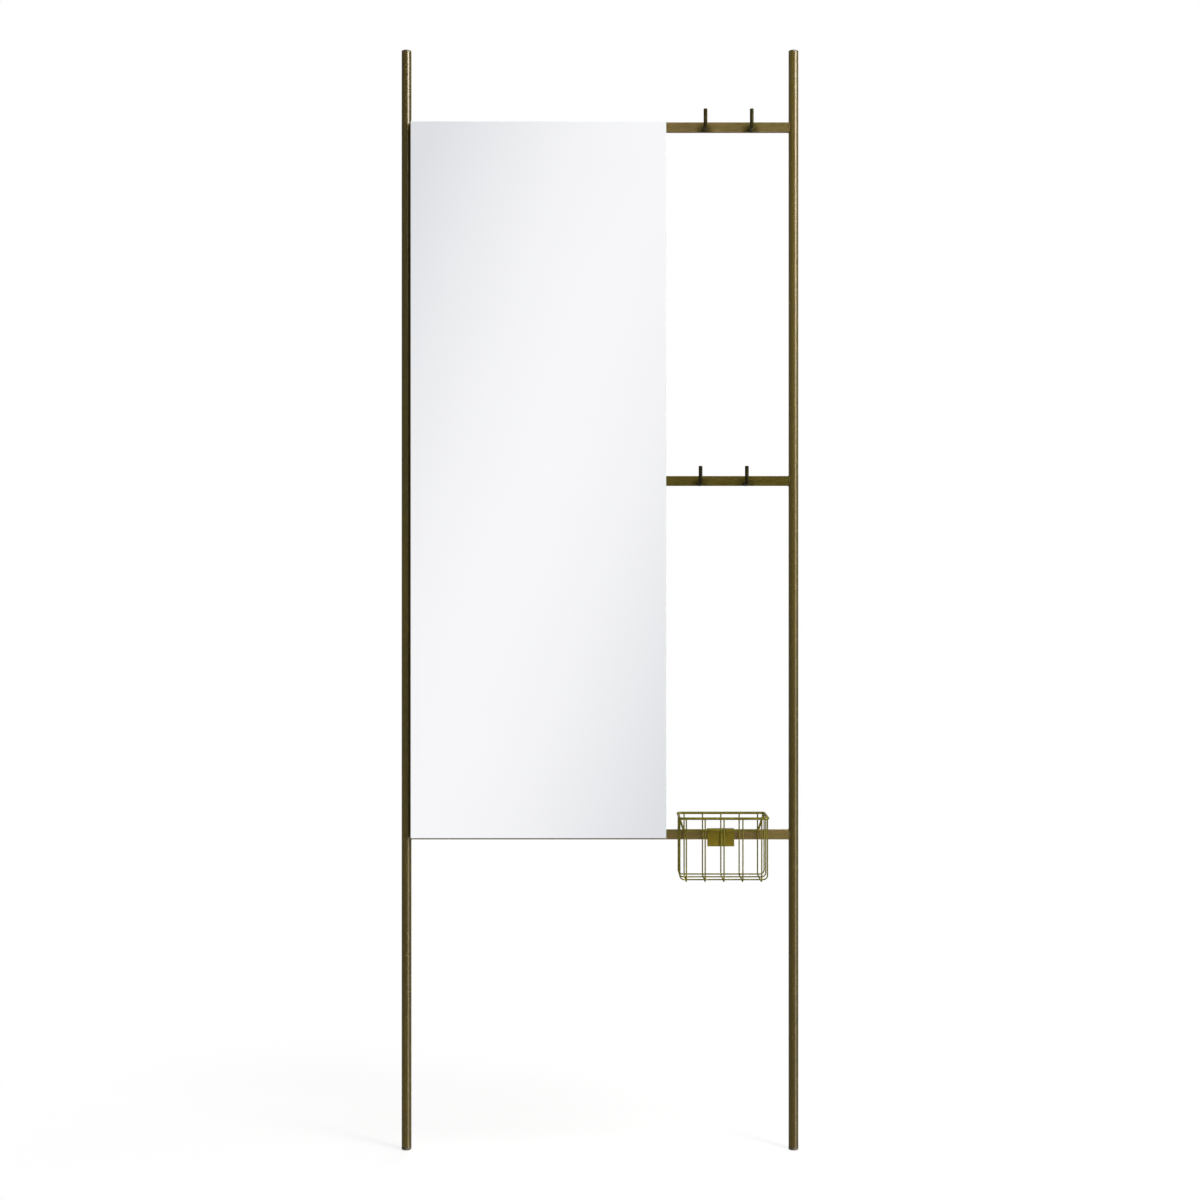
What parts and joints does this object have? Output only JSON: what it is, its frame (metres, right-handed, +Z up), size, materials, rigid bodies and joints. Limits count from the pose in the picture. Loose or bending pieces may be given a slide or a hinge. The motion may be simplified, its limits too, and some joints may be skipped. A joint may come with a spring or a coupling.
{
  "type": "floor mirror",
  "caption": "Leaning ladder floor mirror: frameless glass on round rails and flat crossbars, with upturned coat hooks and a sliding, lift-off wire basket.",
  "frame": {"origin": "on the floor, in the middle of the footprint of the whole object with its basket", "axes": "+X to the right seen from the front, +Y to the back, towards the wall, +Z up along the rails; the glass faces -Y"},
  "size_m": [0.65, 0.0968, 1.8],
  "materials": {
    "bronze_tube": "antique bronze lacquer, satin, with a soft highlight along the round rails",
    "hook_bronze": "dark antique bronze lacquer, satin",
    "olive_brass_wire": "olive brass lacquer, satin",
    "end_plastic": "bronze-brown moulded plastic, matte",
    "silvered_glass": "silvered float glass with ground edges",
    "foam_tape": "white mounting foam",
    "backing_board": "brown fibreboard, matte",
    "zinc_steel": "zinc-plated steel"
  },
  "bodies": {
    "ladder": {"left_rail": "bronze_tube", "right_rail": "bronze_tube", "left_foot": "end_plastic", "right_foot": "end_plastic", "left_top_cap": "end_plastic", "right_top_cap": "end_plastic", "top_crossbar": "bronze_tube", "middle_crossbar": "bronze_tube", "bottom_crossbar": "bronze_tube", "mirror_glass": "silvered_glass", "mirror_tape": "foam_tape", "mirror_backing": "backing_board", "mirror_screws": "zinc_steel", "top_left_hook": "hook_bronze", "top_right_hook": "hook_bronze", "middle_left_hook": "hook_bronze", "middle_right_hook": "hook_bronze"},
    "hanger": {"basket_hanger": "olive_brass_wire"},
    "basket": {"basket_rim": "olive_brass_wire", "basket_rib_1": "olive_brass_wire", "basket_rib_2": "olive_brass_wire", "basket_rib_3": "olive_brass_wire", "basket_rib_4": "olive_brass_wire", "basket_rib_5": "olive_brass_wire", "basket_cross_wire_1": "olive_brass_wire", "basket_cross_wire_2": "olive_brass_wire", "basket_cross_wire_3": "olive_brass_wire", "basket_hang_wire": "olive_brass_wire"}
  },
  "joints": [
    {"name": "hanger_slide", "type": "slide", "parent": "ladder", "child": "hanger", "axis": [1, 0, 0], "range_m": [-0.016, 0.038]},
    {"name": "basket_lift", "type": "slide", "parent": "hanger", "child": "basket", "axis": [0, 0, 1], "range_m": [0, 0.03]}
  ]
}
